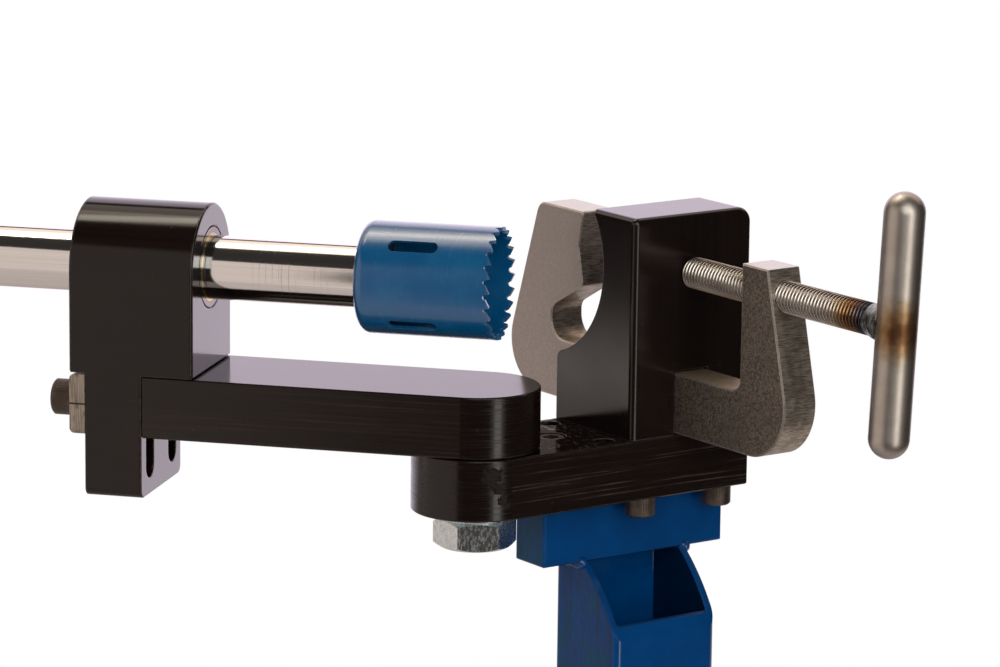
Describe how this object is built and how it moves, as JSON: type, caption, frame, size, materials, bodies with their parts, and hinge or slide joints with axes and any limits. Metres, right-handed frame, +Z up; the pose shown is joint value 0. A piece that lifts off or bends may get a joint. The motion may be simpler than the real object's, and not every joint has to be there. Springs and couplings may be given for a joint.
{
  "type": "tube notcher",
  "caption": "Bench tube notcher: a swinging arm carries a hole saw on a sliding spindle past a saddle vise closed by a screw-drawn clamp frame.",
  "frame": {"origin": "middle of the post's lower end", "axes": "+Z up along the post, +X along the base plate from the pivot to the vise and along the clamped tube, -Y towards the clamp handle"},
  "size_m": [0.2871, 0.3533, 0.3193],
  "materials": {
    "black_anodised": "black anodised over fine brushing",
    "blue_enamel": "gloss blue enamel",
    "saw_enamel": "gloss blue enamel, worn at the edges",
    "saw_steel": "machined",
    "ground_shaft": "ground and polished",
    "bearing_steel": "ground",
    "wiper_bronze": "turned",
    "blasted_steel": "bead blasted flats, brushed rims",
    "screw_steel": "bright rolled thread",
    "handle_steel": "satin, heat tinted at the weld",
    "weld_steel": "as welded",
    "zinc_plate": "bright zinc",
    "black_oxide": "black oxide",
    "plain_plate": "milled",
    "bushing_bronze": "machined"
  },
  "bodies": {
    "base": {"post": "blue_enamel", "post_welds": "blue_enamel", "mounting_bar": "blue_enamel", "bar_screws": "black_oxide", "base_plate": "black_anodised", "pivot_bushing": "bushing_bronze", "pivot_shim": "plain_plate", "vise_block": "black_anodised", "vise_screws": "black_oxide"},
    "swing_arm": {"swing_arm": "black_anodised", "pivot_bolt": "zinc_plate", "pivot_washer": "zinc_plate", "lock_plate": "plain_plate", "lock_screws": "black_oxide"},
    "bearing_head": {"bearing_block": "black_anodised", "bearing_shells": "bearing_steel", "bearing_seals": "wiper_bronze"},
    "roller_cages": {"bearing_cages": "bearing_steel", "bearing_rollers": "bearing_steel"},
    "saw_spindle": {"spindle": "ground_shaft", "saw_cap": "saw_steel", "saw_cup": "saw_enamel"},
    "clamp_screw": {"clamp_screw": "screw_steel", "tee_handle": "handle_steel", "handle_weld": "weld_steel"},
    "clamp_frame": {"clamp_frame": "blasted_steel"}
  },
  "joints": [
    {"name": "arm_swing", "type": "hinge", "parent": "base", "child": "swing_arm", "pos_m": [-0.0714, 0.01112, 0.2158], "axis": [0, 0, 1], "range_deg": [-41.2, 18.8]},
    {"name": "head_height", "type": "slide", "parent": "swing_arm", "child": "bearing_head", "axis": [0, 0, 1], "range_m": [0, 0.0254]},
    {"name": "spindle_spin", "type": "hinge", "parent": "bearing_head", "child": "roller_cages", "pos_m": [-0.15901, 0.1112, 0.2691], "axis": [-0.6587, 0.7524, 0], "continuous": true},
    {"name": "spindle_feed", "type": "slide", "parent": "roller_cages", "child": "saw_spindle", "axis": [0.6587, -0.7524, 0], "range_m": [-0.06, 0.038]},
    {"name": "clamp_screw_turn", "type": "hinge", "parent": "base", "child": "clamp_screw", "pos_m": [0.015, -0.01427, 0.2686], "axis": [0, 1, 0], "range_deg": [-6430, 5140]},
    {"name": "clamp_frame_slide", "type": "slide", "parent": "base", "child": "clamp_frame", "axis": [0, 1, 0], "range_m": [-0.028, 0.035]}
  ],
  "couplings": [
    {"joint": "clamp_frame_slide", "follows": "clamp_screw_turn", "m_per_rad": -0.00031099}
  ]
}
